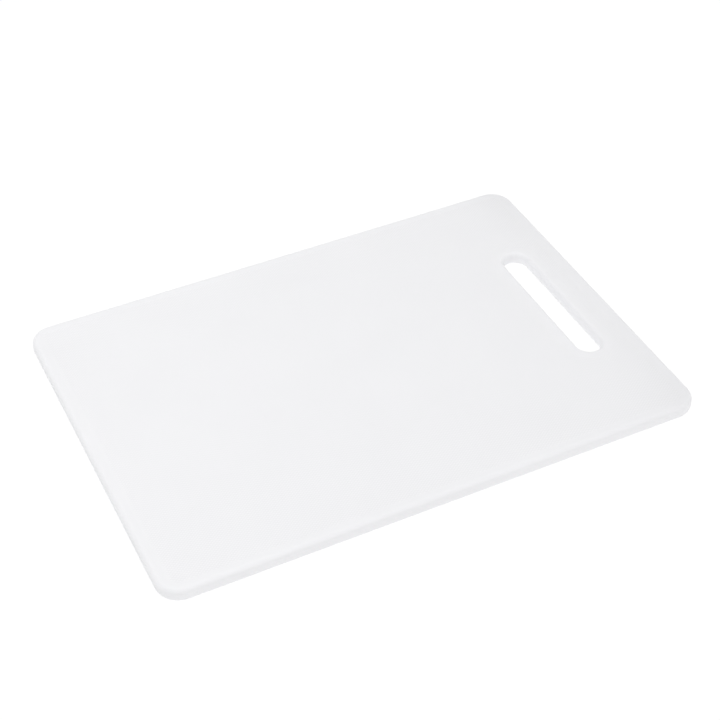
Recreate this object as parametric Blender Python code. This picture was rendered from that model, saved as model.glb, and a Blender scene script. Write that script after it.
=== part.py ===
"""A moulded polyethylene cutting board with a hand slot, lying flat on its underside.

Units are metres and +Z is up. The origin is the centre of the underside. +X points towards
the short edge that holds the hand slot, and the long edges run along X.
"""

import math

import bmesh
import bpy

# The board's slab
BOARD_LENGTH = 0.340
BOARD_WIDTH = 0.240
BOARD_THICKNESS = 0.009
CORNER_RADIUS = 0.0145  # of the four corners, seen from above
RIM_RADIUS = 0.003  # of the rounding along both faces, around the outside and inside the slot

# The hand slot, measured between its straight walls, halfway through the thickness
SLOT_LENGTH = 0.1045
SLOT_WIDTH = 0.016
SLOT_BAR = 0.0235  # material left between the slot and the short edge

# How finely the round stretches are drawn
CORNER_STEPS = 12  # segments in a quarter turn of a board corner
SLOT_END_STEPS = 24  # segments in the half turn at each end of the slot
RIM_STEPS = 5  # segments in the quarter turn of a rim

WELD_DISTANCE = 0.000001

# Natural white polyethylene, moulded with a satin face
BOARD_COLOUR = (0.86, 0.86, 0.88, 1.0)
BOARD_ROUGHNESS = 0.45
BOARD_IOR = 1.54


def clear_scene():
    for old in list(bpy.data.objects):
        bpy.data.objects.remove(old, do_unlink=True)


def new_collection(name):
    collection = bpy.data.collections.new(name)
    bpy.context.scene.collection.children.link(collection)
    return collection


def plastic_material():
    material = bpy.data.materials.new("white_polyethylene")
    material.use_nodes = True
    shader = material.node_tree.nodes["Principled BSDF"]
    shader.inputs["Base Color"].default_value = BOARD_COLOUR
    shader.inputs["Roughness"].default_value = BOARD_ROUGHNESS
    shader.inputs["Metallic"].default_value = 0.0
    shader.inputs["IOR"].default_value = BOARD_IOR
    return material


def rounded_outline(centre_x, length_x, length_y, radius, steps):
    """Points anticlockwise around a rectangle whose corners are quarter circles."""
    points = []
    corners = ((1, 1, 0), (-1, 1, 90), (-1, -1, 180), (1, -1, 270))
    for side_x, side_y, first_angle in corners:
        corner_x = centre_x + side_x * (length_x / 2 - radius)
        corner_y = side_y * (length_y / 2 - radius)
        for step in range(steps + 1):
            angle = math.radians(first_angle + 90 * step / steps)
            x = corner_x + radius * math.cos(angle)
            y = corner_y + radius * math.sin(angle)
            if not points or math.dist(points[-1], (x, y)) > WELD_DISTANCE:
                points.append((x, y))
    if math.dist(points[0], points[-1]) < WELD_DISTANCE:
        points.pop()
    return points


def add_outline(curve, points):
    spline = curve.splines.new("POLY")
    spline.points.add(len(points) - 1)
    for point, (x, y) in zip(spline.points, points):
        point.co = (x, y, 0.0, 1.0)
    spline.use_cyclic_u = True


def slab_curve():
    """The outline with the slot inside it, given its thickness and its rounded rims."""
    curve = bpy.data.curves.new("board_outline", "CURVE")
    curve.dimensions = "2D"
    curve.fill_mode = "BOTH"
    curve.extrude = BOARD_THICKNESS / 2 - RIM_RADIUS
    curve.bevel_depth = RIM_RADIUS
    curve.bevel_resolution = RIM_STEPS - 1
    curve.offset = -RIM_RADIUS
    add_outline(curve, rounded_outline(0.0, BOARD_LENGTH, BOARD_WIDTH, CORNER_RADIUS, CORNER_STEPS))
    slot_x = BOARD_LENGTH / 2 - SLOT_BAR - SLOT_WIDTH / 2
    slot_end_radius = SLOT_WIDTH / 2
    slot = rounded_outline(slot_x, SLOT_WIDTH, SLOT_LENGTH, slot_end_radius, SLOT_END_STEPS // 2)
    add_outline(curve, slot[::-1])
    return bpy.data.objects.new("board_outline", curve)


def closed_mesh(outline):
    """The curve as one closed mesh, with its two flat faces joined to its rounded rims."""
    bpy.context.view_layer.update()
    evaluated = outline.evaluated_get(bpy.context.evaluated_depsgraph_get())
    mesh = bpy.data.meshes.new_from_object(evaluated)
    shape = bmesh.new()
    shape.from_mesh(mesh)
    bmesh.ops.remove_doubles(shape, verts=shape.verts, dist=WELD_DISTANCE)
    bmesh.ops.recalc_face_normals(shape, faces=shape.faces)
    shape.to_mesh(mesh)
    shape.free()
    return mesh


def make_board(collection):
    outline = slab_curve()
    collection.objects.link(outline)
    outline.location.z = BOARD_THICKNESS / 2
    mesh = closed_mesh(outline)
    mesh.name = "board"
    mesh.materials.clear()
    mesh.materials.append(plastic_material())
    mesh.shade_smooth()
    mesh.set_sharp_from_angle(angle=math.radians(30))
    board = bpy.data.objects.new("board", mesh)
    collection.objects.link(board)
    board.matrix_world = outline.matrix_world.copy()
    curve = outline.data
    bpy.data.objects.remove(outline, do_unlink=True)
    bpy.data.curves.remove(curve)
    return board


clear_scene()
make_board(new_collection("cutting_board"))
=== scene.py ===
# %% [markdown]
# # A white polyethylene cutting board
#
# The real board is a single injection moulding: a thin slab of natural white polyethylene with
# rounded corners, rounded rims, a long slot for the hand, and a fine lattice of raised points on
# its cutting face, which keeps food from sliding. Nothing on it comes apart, so this lesson makes
# one piece and spends its effort on what the eye reads on such a plain thing: how soft the rims
# are, the pressed-in texture, and how light sinks a little way into the plastic.

# %% Load the frame
import math

import bpy
import numpy as np
from mathutils import Matrix, Vector


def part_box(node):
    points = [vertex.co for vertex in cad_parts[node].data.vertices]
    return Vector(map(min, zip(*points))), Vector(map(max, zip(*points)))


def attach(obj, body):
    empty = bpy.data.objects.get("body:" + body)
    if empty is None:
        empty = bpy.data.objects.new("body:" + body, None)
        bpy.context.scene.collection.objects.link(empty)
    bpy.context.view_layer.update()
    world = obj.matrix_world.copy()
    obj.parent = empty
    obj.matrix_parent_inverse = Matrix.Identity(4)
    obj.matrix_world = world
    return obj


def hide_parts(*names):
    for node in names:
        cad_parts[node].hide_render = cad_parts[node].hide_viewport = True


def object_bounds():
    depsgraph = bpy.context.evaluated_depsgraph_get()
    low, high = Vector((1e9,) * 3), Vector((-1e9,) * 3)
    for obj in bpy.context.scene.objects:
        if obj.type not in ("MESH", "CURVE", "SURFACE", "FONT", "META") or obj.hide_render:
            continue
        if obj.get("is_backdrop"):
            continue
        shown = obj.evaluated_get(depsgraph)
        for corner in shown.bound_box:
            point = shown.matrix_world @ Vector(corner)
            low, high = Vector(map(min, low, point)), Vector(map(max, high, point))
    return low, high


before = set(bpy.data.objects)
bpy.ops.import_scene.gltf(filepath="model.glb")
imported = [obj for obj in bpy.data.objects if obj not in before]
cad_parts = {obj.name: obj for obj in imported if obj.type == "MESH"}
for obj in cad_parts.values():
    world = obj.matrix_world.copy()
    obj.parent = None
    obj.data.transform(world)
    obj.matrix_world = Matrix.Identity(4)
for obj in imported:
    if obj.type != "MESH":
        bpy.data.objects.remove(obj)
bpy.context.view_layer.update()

MM = 0.001
TOUCHING = 0.001 * MM  # places closer than this count as the same
board_low, board_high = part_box("board")
LENGTH, WIDTH, THICKNESS = board_high - board_low
TOP = board_high.z
MIDDLE = (board_low.z + board_high.z) / 2
print(f"board {LENGTH / MM:.1f} x {WIDTH / MM:.1f} x {THICKNESS / MM:.1f} mm")

# %% [markdown]
# ## Reading the hand slot off the frame
#
# The frame's own solid already says where the slot is: every vertex well inside the outline
# belongs to it. The widest of them lie on the two faces, around the slot's mouth, and the
# narrowest lie on its straight walls, halfway up. Half the difference is the radius of the rim.
# Measuring is safer than typing numbers again, because the board then follows the frame.

# %% Measure the slot and the rims
INSIDE = 12 * MM  # nothing of the outer wall or its rims is this far in from the outline

cad_points = np.array([vertex.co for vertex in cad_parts["board"].data.vertices])
inside_x = np.abs(cad_points[:, 0]) < LENGTH / 2 - INSIDE
inside_y = np.abs(cad_points[:, 1]) < WIDTH / 2 - INSIDE
slot_points = cad_points[inside_x & inside_y]
mouth = slot_points[slot_points[:, 2] > TOP - TOUCHING]
wall = slot_points[np.abs(slot_points[:, 2] - MIDDLE) < THICKNESS / 4]

SLOT_WIDTH, SLOT_LENGTH = np.ptp(wall[:, :2], axis=0)
SLOT_X = (wall[:, 0].min() + wall[:, 0].max()) / 2
RIM_RADIUS = (np.ptp(mouth[:, 0]) - SLOT_WIDTH) / 2
print(f"slot {SLOT_WIDTH / MM:.2f} x {SLOT_LENGTH / MM:.2f} mm")
print(f"slot centre {SLOT_X / MM:.2f} mm to the right of the board's middle")
print(f"rim radius {RIM_RADIUS / MM:.2f} mm")

# %% [markdown]
# The outline's corners are measured in the same way. A vertex of the outer wall that lies on the
# long edge and is furthest along it marks where the corner's arc begins.

# %% Measure the corners
on_long_edge = cad_points[cad_points[:, 1] > WIDTH / 2 - TOUCHING]
CORNER_RADIUS = LENGTH / 2 - on_long_edge[:, 0].max()
print(f"corner radius {CORNER_RADIUS / MM:.2f} mm")

# %% [markdown]
# ## Small helpers for working as by hand
#
# An operator acts on whatever is selected, so each step first clears the selection, then picks
# vertices, edges or faces by their place. Picking is done on the mesh's own data in object mode,
# where numpy can test every vertex at once, and the operator runs in edit mode.


# %% Helpers for selecting and modifying
def only(piece):
    """Makes piece the one selected, active object."""
    bpy.ops.object.select_all(action="DESELECT")
    piece.select_set(True)
    bpy.context.view_layer.objects.active = piece


def points_of(piece):
    """The places of the piece's vertices, one row each, in metres."""
    places = np.empty(len(piece.data.vertices) * 3)
    piece.data.vertices.foreach_get("co", places)
    return places.reshape(-1, 3)


def edit(piece, mode="VERT", picked=None):
    """Opens the piece in edit mode with the picked vertices selected, or with all of it."""
    only(piece)
    bpy.ops.object.mode_set(mode="EDIT")
    bpy.ops.mesh.select_mode(type="VERT")
    bpy.ops.mesh.select_all(action="SELECT" if picked is None else "DESELECT")
    if picked is not None:
        bpy.ops.object.mode_set(mode="OBJECT")
        piece.data.vertices.foreach_set("select", picked)
        bpy.ops.object.mode_set(mode="EDIT")
    bpy.ops.mesh.select_mode(type=mode)


def done():
    bpy.ops.object.mode_set(mode="OBJECT")


def apply_modifier(piece, kind, **settings):
    """Adds one modifier with these settings and applies it."""
    modifier = piece.modifiers.new(kind.title(), kind)
    for name, value in settings.items():
        setattr(modifier, name, value)
    only(piece)
    bpy.ops.object.modifier_apply(modifier=modifier.name)


def open_vertices(piece):
    """Which vertices lie on an edge that doesn't have a face on both sides."""
    faces_at = np.zeros(len(piece.data.edges), int)
    edge_of_corner = np.empty(len(piece.data.loops), int)
    piece.data.loops.foreach_get("edge_index", edge_of_corner)
    np.add.at(faces_at, edge_of_corner, 1)
    ends = np.empty(len(piece.data.edges) * 2, int)
    piece.data.edges.foreach_get("vertices", ends)
    found = np.zeros(len(piece.data.vertices), bool)
    found[ends.reshape(-1, 2)[faces_at != 2].ravel()] = True
    return found


def count(piece):
    triangles = sum(len(face.vertices) - 2 for face in piece.data.polygons)
    print(f"{piece.name}: {len(piece.data.vertices)} vertices, {triangles} triangles")


# %% [markdown]
# ## The slab
#
# A mould for a board is milled from the outline, so the slab is made the same way: a block of the
# board's size whose four upright edges are bevelled into the corner arcs. A block with a rounded
# outline is needed twice, for the board and for the cutter that opens the slot, so it is one
# function. The slot's ends are half circles, which is the same bevel taken to half its width.
# A 2D curve with an extrusion would give the same shape. The block is chosen because the bevels
# that follow need clean flat faces, with no triangles across them.


# %% Make a block with a rounded outline
def rounded_block(name, centre, size, radius, segments):
    bpy.ops.object.select_all(action="DESELECT")
    bpy.ops.mesh.primitive_cube_add(size=1, location=centre)
    block = bpy.context.object
    block.name = name
    block.scale = size
    bpy.ops.object.transform_apply(location=True, rotation=True, scale=True)
    edit(block, "EDGE")
    bpy.ops.mesh.select_all(action="DESELECT")
    done()
    places = points_of(block)
    for edge in block.data.edges:
        first, second = places[list(edge.vertices)]
        edge.select = bool(abs(first[2] - second[2]) > size[2] / 2)
    bpy.ops.object.mode_set(mode="EDIT")
    bpy.ops.mesh.bevel(offset=radius, segments=segments, profile=0.5, affect="EDGES")
    bpy.ops.mesh.remove_doubles(threshold=TOUCHING)
    done()
    return block


CORNER_SEGMENTS = 24
board = rounded_block(
    "board_moulding", (0, 0, MIDDLE), (LENGTH, WIDTH, THICKNESS), CORNER_RADIUS, CORNER_SEGMENTS
)
count(board)

# %% [markdown]
# ## The hand slot
#
# The slot goes right through, so the cutter is made longer than the slab is thick and taken away
# with a Boolean. Inset and bridge could open the hole too, but they would need the slot's outline
# on both faces first, and the Boolean draws it for us.

# %% Cut the slot
SLOT_END_SEGMENTS = 20  # in each quarter of a slot end

cutter = rounded_block(
    "slot_cutter",
    (SLOT_X, 0, MIDDLE),
    (SLOT_WIDTH, SLOT_LENGTH, 3 * THICKNESS),
    SLOT_WIDTH / 2,
    SLOT_END_SEGMENTS,
)
apply_modifier(board, "BOOLEAN", object=cutter, operation="DIFFERENCE", solver="EXACT")
bpy.data.objects.remove(cutter, do_unlink=True)
count(board)

# %% [markdown]
# ## Rims
#
# The mould leaves no sharp edge where a hand or a cloth could catch, so both faces run into the
# outer wall and into the slot's wall through a quarter round. The only sharp edges left on the
# block are exactly those, so Select Sharp Edges finds them all, and one bevel rounds them
# together. Ten segments keep the highlight along the rim smooth when it is seen from close by.

# %% Round the rims
RIM_SEGMENTS = 10
SHARP = math.radians(60)  # the corner arcs turn by less than this between two faces, the rims by 90

edit(board, "EDGE")
bpy.ops.mesh.select_all(action="DESELECT")
bpy.ops.mesh.edges_select_sharp(sharpness=SHARP)
bpy.ops.mesh.bevel(offset=RIM_RADIUS, segments=RIM_SEGMENTS, profile=0.5, affect="EDGES")
done()
count(board)

# %% [markdown]
# ## Even spacing along the straight edges
#
# So far the long edges have no vertices between their corners. The land around the lattice will be
# filled with triangles from those edges, and without points in between they would be slivers as
# long as the board. Bisect cuts the whole slab into strips in both directions, which changes no
# shape and gives every straight edge a vertex about every 15 mm.

# %% Cut the slab into strips
STRIP = 14 * MM  # the cuts come out a little further apart than this
CLEAR_OF_ARCS = 3 * MM  # more than the inset made underneath later, and found to leave no slivers

for size, axis in ((LENGTH, Vector((1, 0, 0))), (WIDTH, Vector((0, 1, 0)))):
    furthest = size / 2 - CORNER_RADIUS - CLEAR_OF_ARCS
    for offset in np.linspace(-furthest, furthest, round(2 * furthest / STRIP)):
        edit(board)
        bpy.ops.mesh.bisect(plane_co=axis * offset, plane_no=axis)
        done()
count(board)

# %% [markdown]
# ## The parting line
#
# Where two halves of a mould meet, they leave a witness line. It is taken to run halfway up the
# wall, inside the slot as well, and is a very shallow groove here: three cuts through the wall with
# Bisect, and the middle one is pushed into the plastic. It is real geometry and not a bump in the
# material, because it belongs to the moulding's shape and should still be there under another
# material.

# %% Cut the parting line
LINE_HALF_WIDTH = 0.25 * MM
LINE_DEPTH = 0.03 * MM

for height in (MIDDLE - LINE_HALF_WIDTH, MIDDLE, MIDDLE + LINE_HALF_WIDTH):
    edit(board)
    bpy.ops.mesh.bisect(plane_co=(0, 0, height), plane_no=(0, 0, 1))
    done()
on_line = np.abs(points_of(board)[:, 2] - MIDDLE) < TOUCHING
edit(board, "VERT", on_line)
bpy.ops.transform.shrink_fatten(value=-LINE_DEPTH)
done()
count(board)

# %% [markdown]
# ## The cutting face
#
# The face is covered with low points between two crossing sets of fine grooves. The mould carries
# the same pattern in reverse, as rows of small pits in the steel. Each set of grooves runs at about
# 35 degrees to the long edge, so every point stands on a diamond, 2.56 mm long and 1.76 mm across.
# A bump map could fake this, but the points have a real height and catch light at low angles, so
# they are modelled. The diamonds are about as fine as can be made out from a metre away, so the real
# pattern may be finer, and the height of the points is an estimate.
#
# The lattice stops short of the rims and of the slot and leaves a plain land there. The land's
# widths are estimates as well, picked from those that Fill closes without slivers, so the mesh needs
# another look when one of them changes. A signed distance says how far a place lies inside a rounded
# outline, and the same formula serves the outer edge of the lattice and the land around the slot.

# %% Decide where the lattice goes
DIAMOND_LENGTH = 2.56 * MM
DIAMOND_WIDTH = 1.76 * MM
RELIEF = 0.20 * MM  # from the bottom of a groove to a point
OUTER_LAND = 5.0 * MM  # from the outer wall to the lattice
SLOT_LAND = RIM_RADIUS + 2.7 * MM  # from the slot's wall to the lattice

groove_angle = math.degrees(math.atan2(DIAMOND_WIDTH, DIAMOND_LENGTH))
print(f"the grooves run at {groove_angle:.1f} degrees to the long edge")


def depth_inside(places, centre_x, size_x, size_y, radius):
    """How far each place lies inside a rounded rectangle, in metres, and negative outside."""
    x = np.abs(places[:, 0] - centre_x) - (size_x / 2 - radius)
    y = np.abs(places[:, 1]) - (size_y / 2 - radius)
    outside = np.hypot(np.maximum(x, 0), np.maximum(y, 0))
    inside = np.minimum(np.maximum(x, y), 0)
    return radius - outside - inside


def depth_in_lattice(places):
    """How far each place lies inside the textured part of the face."""
    outer = depth_inside(places, 0, LENGTH, WIDTH, CORNER_RADIUS) - OUTER_LAND
    around_slot = -depth_inside(places, SLOT_X, SLOT_WIDTH, SLOT_LENGTH, SLOT_WIDTH / 2) - SLOT_LAND
    return np.minimum(outer, around_slot)


# %% [markdown]
# A sheet of diamonds is a plain square grid, turned by 45 degrees and then stretched. Each cell
# starts out with diagonals two units long, so scaling by half a diamond's length and width gives
# the size that is wanted. The grid has to be large enough for its turned corners to clear the
# board. Vertices outside the lattice's outline are deleted, which leaves an edge of small teeth.

# %% Lay out the diamonds
half_diamond = np.array([DIAMOND_LENGTH, DIAMOND_WIDTH]) / 2
reach = (np.array([LENGTH, WIDTH]) / 2 / half_diamond).sum()  # to the board's corner, in half diamonds
cells = 2 * math.ceil(reach / 2)

bpy.ops.object.select_all(action="DESELECT")
bpy.ops.mesh.primitive_grid_add(
    x_subdivisions=cells,
    y_subdivisions=cells,
    size=cells * math.sqrt(2),
    location=(0, 0, TOP),
    rotation=(0, 0, math.radians(45)),
)
lattice = bpy.context.object
lattice.name = "lattice"
bpy.ops.object.transform_apply(location=False, rotation=True, scale=False)
lattice.scale = (*half_diamond, 1)
bpy.ops.object.transform_apply(location=True, rotation=False, scale=True)

edit(lattice, "VERT", depth_in_lattice(points_of(lattice)) < 0)
bpy.ops.mesh.delete(type="VERT")
bpy.ops.mesh.select_all(action="SELECT")
bpy.ops.mesh.delete_loose(use_verts=True, use_edges=True, use_faces=False)
done()
count(lattice)

# %% [markdown]
# Poke puts a vertex in the middle of every diamond and joins it to the four corners. The corners
# are then pushed down, and what is left standing is a small pyramid of four triangles on each
# diamond, with straight grooves between them in both directions. Counted in half diamonds, a
# corner's two numbers add up to an even number and a middle's to an odd one, which tells them
# apart. Corners on the sheet's open edge stay where they are, to meet the land.
#
# The same step writes an attribute for the material to read. It is 1 at each lowered corner, and
# half a step below zero on a point for every lowered corner around it. A diamond's faces are two
# parts corner to one part point, so the attribute is zero on average, as it is on the land.

# %% Raise a point on every diamond
edit(lattice, "FACE")
bpy.ops.mesh.poke()
done()
along, across = np.rint(points_of(lattice)[:, :2] / half_diamond).astype(int).T
is_corner = (along + across) % 2 == 0
lowered = is_corner & ~open_vertices(lattice)
edit(lattice, "VERT", lowered)
bpy.ops.transform.translate(value=(0, 0, -RELIEF))
done()

column = along - along.min() + 1
row = across - across.min() + 1
low = np.zeros((column.max() + 2, row.max() + 2))
low[column, row] = lowered
low_around = low[column - 1, row] + low[column + 1, row] + low[column, row - 1] + low[column, row + 1]
groove = lattice.data.attributes.new("groove", "FLOAT", "POINT")
groove.data.foreach_set("value", np.where(is_corner, lowered, -low_around / 2).astype(np.float32))
count(lattice)

# %% [markdown]
# ## Joining the face to the slab
#
# The slab's flat top is deleted, the lattice takes its place, and the land between them is filled
# in. Fill makes a flat triangulation between the edges of a hole, however many vertices are on
# either side of it, so the two meshes never need matching points. The outer land and the land
# around the slot are filled one after the other.

# %% Open the slab's top and join the lattice to it
LEVEL = 0.9999  # a face whose normal points this much up or down is flat on top or underneath

edit(board, "FACE")
bpy.ops.mesh.select_all(action="DESELECT")
done()
for face in board.data.polygons:
    face.select = face.normal.z > LEVEL and face.center.z > MIDDLE
bpy.ops.object.mode_set(mode="EDIT")
bpy.ops.mesh.delete(type="FACE")
done()

only(board)
lattice.select_set(True)
bpy.ops.object.join()

for around_slot in (False, True):
    places = points_of(board)
    slot_depth = -depth_inside(places, SLOT_X, SLOT_WIDTH, SLOT_LENGTH, SLOT_WIDTH / 2)
    near_slot = slot_depth < SLOT_LAND + DIAMOND_LENGTH
    edit(board, "EDGE", open_vertices(board) & (near_slot == around_slot))
    bpy.ops.mesh.fill(use_beauty=True)
    done()
print("open edges left:", int(open_vertices(board).sum()))
count(board)

# %% [markdown]
# ## Shading
#
# Every face of the moulding runs into the next through a round, so all of it is shaded smooth.
# The underside is still one flat face, and smooth shading would tint all of it with the rim's
# slant. A narrow inset gives the slant a band of its own to fade out in.

# %% Shade the board
UNDERSIDE_BAND = 2 * MM

edit(board, "FACE")
bpy.ops.mesh.select_all(action="DESELECT")
done()
for face in board.data.polygons:
    face.select = face.normal.z < -LEVEL and face.center.z < MIDDLE
bpy.ops.object.mode_set(mode="EDIT")
bpy.ops.mesh.inset(thickness=UNDERSIDE_BAND, use_even_offset=True)
bpy.ops.mesh.select_all(action="SELECT")
bpy.ops.mesh.normals_make_consistent(inside=False)
done()
only(board)
bpy.ops.object.shade_smooth()
count(board)


# %% [markdown]
# ## Natural white polyethylene
#
# The board is high-density polyethylene with a little white pigment. It is a waxy, slightly
# see-through plastic: light enters, scatters for a few millimetres and comes out again, which
# softens every shadow on it and lets the thin rims glow. Its surface comes from a blasted mould,
# so it is satin, with a broad dull highlight and no mirror image.


# %% Helpers for materials
def srgb(code):
    """A hex colour as the linear numbers that a shader works with."""
    parts = [int(code[i : i + 2], 16) / 255 for i in (1, 3, 5)]
    linear = [p / 12.92 if p <= 0.04045 else ((p + 0.055) / 1.055) ** 2.4 for p in parts]
    return (*linear, 1.0)


def add_node(tree, kind, settings=None, **inputs):
    """One node with its settings and inputs. An input given as a socket is linked."""
    node = tree.nodes.new(kind)
    for name, value in (settings or {}).items():
        setattr(node, name, value)
    for name, value in inputs.items():
        by_place = name[0] == "_"
        socket = node.inputs[int(name[1:]) if by_place else name.replace("_", " ")]
        if isinstance(value, bpy.types.NodeSocket):
            tree.links.new(value, socket)
        else:
            socket.default_value = value
    return node


# %% [markdown]
# A slow noise moves the white a little way up and down between two limits, as pigment that isn't
# stirred in quite evenly would. The relief of the lattice hardly shows on its own in light as soft
# as this, so it is drawn in colour too: the grooves are a shade darker than the land and the points
# a shade paler. That stands in for shading, and isn't wear or dirt. Both are found with the
# attribute that was written when the lattice was made.

# %% Colour of the polyethylene
DULL_WHITE = "#E9E9EB"
CLEAR_WHITE = "#F9F9FB"
CLOUD_SIZE = 45 * MM
CLOUD_SHARE = 0.15
GROOVE_SHARE = 0.19

plastic = bpy.data.materials.new("satin_moulded_polyethylene")
plastic.use_nodes = True
tree = plastic.node_tree
shader = tree.nodes["Principled BSDF"]

place = add_node(tree, "ShaderNodeTexCoord").outputs["Object"]
cloud = add_node(tree, "ShaderNodeTexNoise", Vector=place, Scale=1 / CLOUD_SIZE, Detail=2.0)
clouded = add_node(
    tree,
    "ShaderNodeMath",
    {"operation": "MULTIPLY_ADD"},
    _0=cloud.outputs["Fac"],
    _1=CLOUD_SHARE,
    _2=(1 - CLOUD_SHARE) / 2,
)
depth = add_node(tree, "ShaderNodeAttribute", {"attribute_name": "groove"})
shaded = add_node(
    tree,
    "ShaderNodeMath",
    {"operation": "MULTIPLY_ADD"},
    _0=depth.outputs["Fac"],
    _1=-GROOVE_SHARE,
    _2=clouded.outputs["Value"],
)
# A Mix node has a set of sockets for each kind of data. Inputs 6 and 7 and output 2 are colours.
colour = add_node(
    tree,
    "ShaderNodeMix",
    {"data_type": "RGBA"},
    _0=shaded.outputs["Value"],
    _6=srgb(DULL_WHITE),
    _7=srgb(CLEAR_WHITE),
)
tree.links.new(colour.outputs[2], shader.inputs["Base Color"])
print(f"{plastic.name}: {len(tree.nodes)} nodes so far")

# %% [markdown]
# ## Satin surface
#
# The mould was blasted with glass beads, which leaves a grain of about 0.2 mm on the plastic. It is
# drawn six times as coarse and very shallow, because a finer one would only turn into noise when
# the whole board is in view. The roughness drifts a little over a few centimetres, as it does where
# hands and cloths have rubbed a surface more often.

# %% Surface of the polyethylene
GRAIN_SIZE = 1.2 * MM
GRAIN_HEIGHT = 0.02 * MM
RUB_SIZE = 28 * MM
RUB_LOW = 0.3  # the noise seldom goes below this, or above the next
RUB_HIGH = 0.7
SMOOTHEST = 0.50
ROUGHEST = 0.62
POLYETHYLENE_IOR = 1.54
SCATTER_WEIGHT = 0.5
SCATTER_DEPTH = 2.5 * MM

rub = add_node(tree, "ShaderNodeTexNoise", Vector=place, Scale=1 / RUB_SIZE, Detail=3.0)
roughness = add_node(
    tree,
    "ShaderNodeMapRange",
    Value=rub.outputs["Fac"],
    From_Min=RUB_LOW,
    From_Max=RUB_HIGH,
    To_Min=SMOOTHEST,
    To_Max=ROUGHEST,
)
grain = add_node(tree, "ShaderNodeTexNoise", Vector=place, Scale=1 / GRAIN_SIZE, Detail=1.0)
bump = add_node(tree, "ShaderNodeBump", Distance=GRAIN_HEIGHT, Height=grain.outputs["Fac"])
tree.links.new(roughness.outputs["Result"], shader.inputs["Roughness"])
tree.links.new(bump.outputs["Normal"], shader.inputs["Normal"])
shader.inputs["IOR"].default_value = POLYETHYLENE_IOR
shader.inputs["Subsurface Weight"].default_value = SCATTER_WEIGHT
shader.inputs["Subsurface Radius"].default_value = (1.0, 1.0, 1.0)
shader.inputs["Subsurface Scale"].default_value = SCATTER_DEPTH
print(f"{plastic.name}: {len(tree.nodes)} nodes")

# %% [markdown]
# It moves with the frame's root body, takes the place of the CAD solid called board, and
# carries the polyethylene in its one material slot.

# %% Hand the board over to the frame
board.data.materials.clear()
board.data.materials.append(plastic)
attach(board, "root")
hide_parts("board")

# %% [markdown]
# ## The studio
#
# A white board on a white ground is only seen by its shading, so the light has to be soft and has
# to come from below as well. The board lies on a sheet of opal acrylic that is lit from behind, as
# small white goods are often shown. The sheet hardly takes any shadow, and its glow fills the
# lower half of the walls and the slot.

# %% The light table
TABLE_SIZE = 16.0
TABLE_GLOW = 0.865  # just under white, and the room's light on it does the rest
TABLE_GAP = 0.1 * MM  # keeps the sheet and the underside from sharing a plane
OPAL_ROUGHNESS = 0.9

bpy.ops.object.select_all(action="DESELECT")
bpy.ops.mesh.primitive_plane_add(size=TABLE_SIZE, location=(0, 0, board_low.z - TABLE_GAP))
table = bpy.context.object
table.name = "light_table"
opal = bpy.data.materials.new("backlit_opal_acrylic")
opal.use_nodes = True
opal_shader = opal.node_tree.nodes["Principled BSDF"]
opal_shader.inputs["Base Color"].default_value = srgb("#757575")
opal_shader.inputs["Roughness"].default_value = OPAL_ROUGHNESS
opal_shader.inputs["Specular IOR Level"].default_value = 0.0
opal_shader.inputs["Emission Color"].default_value = (1, 1, 1, 1)
opal_shader.inputs["Emission Strength"].default_value = TABLE_GLOW
table.data.materials.append(opal)
table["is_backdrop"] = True
print(f"light table {TABLE_SIZE:.0f} m square, {TABLE_GAP / MM:.1f} mm below the board")

# %% [markdown]
# The room is a plain white tent. A gradient stands in for it: the world's strength grows in a
# straight line with the direction's height, which keeps the face a little brighter than the walls,
# and it drifts a little sideways. One lamp adds the slow falloff across the board. It is a spot
# with a soft edge to its cone, and that edge crosses the board's right-hand end, which darkens there
# over the last two centimetres. A large area lamp would be softer but couldn't draw that edge.

# %% Light
ROOM_LEVEL = 0.581
ROOM_SLOPE = (0.06, -0.11, 0.37)  # the room is brighter towards +X, -Y and overhead
KEY_PLACE = Vector((-0.22, 0.06, 0.8))
KEY_TARGET = Vector((-0.22, 0.01, 0))
KEY_POWER = 5.2
KEY_RADIUS = 0.03
KEY_CONE = math.radians(57.9)
KEY_BLEND = 0.23

world = bpy.data.worlds.new("studio")
bpy.context.scene.world = world
world.use_nodes = True
room = world.node_tree
direction = add_node(room, "ShaderNodeTexCoord")
slope = add_node(
    room,
    "ShaderNodeVectorMath",
    {"operation": "DOT_PRODUCT"},
    _0=direction.outputs["Generated"],
    _1=ROOM_SLOPE,
)
strength = add_node(room, "ShaderNodeMath", _0=slope.outputs["Value"], _1=ROOM_LEVEL)
background = room.nodes["Background"]
background.inputs["Color"].default_value = (1, 1, 1, 1)
room.links.new(strength.outputs["Value"], background.inputs["Strength"])

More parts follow.
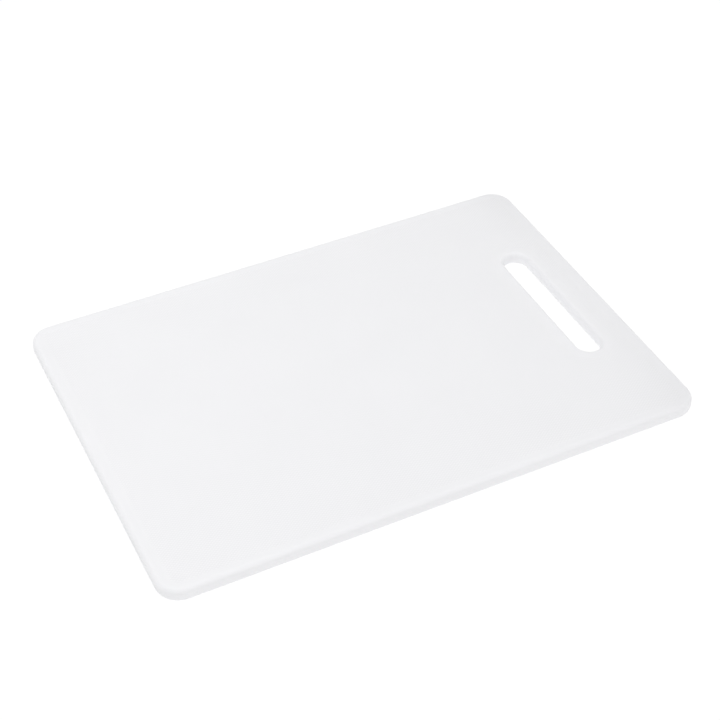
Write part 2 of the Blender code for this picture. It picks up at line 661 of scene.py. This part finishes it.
key = bpy.data.lights.new("key_light", "SPOT")
key.energy = KEY_POWER
key.shadow_soft_size = KEY_RADIUS
key.spot_size = KEY_CONE
key.spot_blend = KEY_BLEND
lamp = bpy.data.objects.new("key_light", key)
bpy.context.scene.collection.objects.link(lamp)
lamp.location = KEY_PLACE
lamp.rotation_mode = "QUATERNION"
lamp.rotation_quaternion = (KEY_PLACE - KEY_TARGET).to_track_quat("Z", "Y")
print(f"key light {KEY_POWER} W, {KEY_PLACE.z} m above the board's underside")

# %% [markdown]
# ## The camera
#
# The camera stands about a metre away and looks down at the board from the left of its near side.
# Its place is given as an angle around the board, an angle above the table and a distance, because
# each of those can be judged by eye on its own. The lens is fairly long, so the far long edge looks
# only about a seventh shorter than the near one. The camera is turned by a little over half a degree
# about its line of sight, as a camera held in the hand could be.

# %% Camera
CAMERA_LENS = 80.5
CAMERA_AZIMUTH = math.radians(-25.58)
CAMERA_ELEVATION = math.radians(41.75)
CAMERA_ROLL = math.radians(-0.62)
CAMERA_TARGET = Vector((9.1 * MM, 12.05 * MM, 0))
CAMERA_DISTANCE = 0.9958

back = Vector(
    (
        math.sin(CAMERA_AZIMUTH) * math.cos(CAMERA_ELEVATION),
        -math.cos(CAMERA_AZIMUTH) * math.cos(CAMERA_ELEVATION),
        math.sin(CAMERA_ELEVATION),
    )
)
right = Vector((0, 0, 1)).cross(back).normalized()
up = back.cross(right)
turned_right = right * math.cos(CAMERA_ROLL) + up * math.sin(CAMERA_ROLL)
turned_up = up * math.cos(CAMERA_ROLL) - right * math.sin(CAMERA_ROLL)
lens = bpy.data.cameras.new("camera")
lens.lens = CAMERA_LENS
camera = bpy.data.objects.new("camera", lens)
bpy.context.scene.collection.objects.link(camera)
camera.matrix_world = (
    Matrix.Translation(CAMERA_TARGET + back * CAMERA_DISTANCE)
    @ Matrix((turned_right, turned_up, back)).transposed().to_4x4()
)
bpy.context.scene.camera = camera
print("camera at", [round(number, 3) for number in camera.matrix_world.translation], "m")
bpy.context.scene.view_settings.view_transform = "Standard"

# %% [markdown]
# ## The last check
#
# The finished board is measured once more and its size is printed, to set beside the CAD's size
# printed at the start, so that any growth past the CAD's box shows.

# %% Finish
low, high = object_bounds()
print("size of the board in mm:", [round(side / MM, 2) for side in high - low])
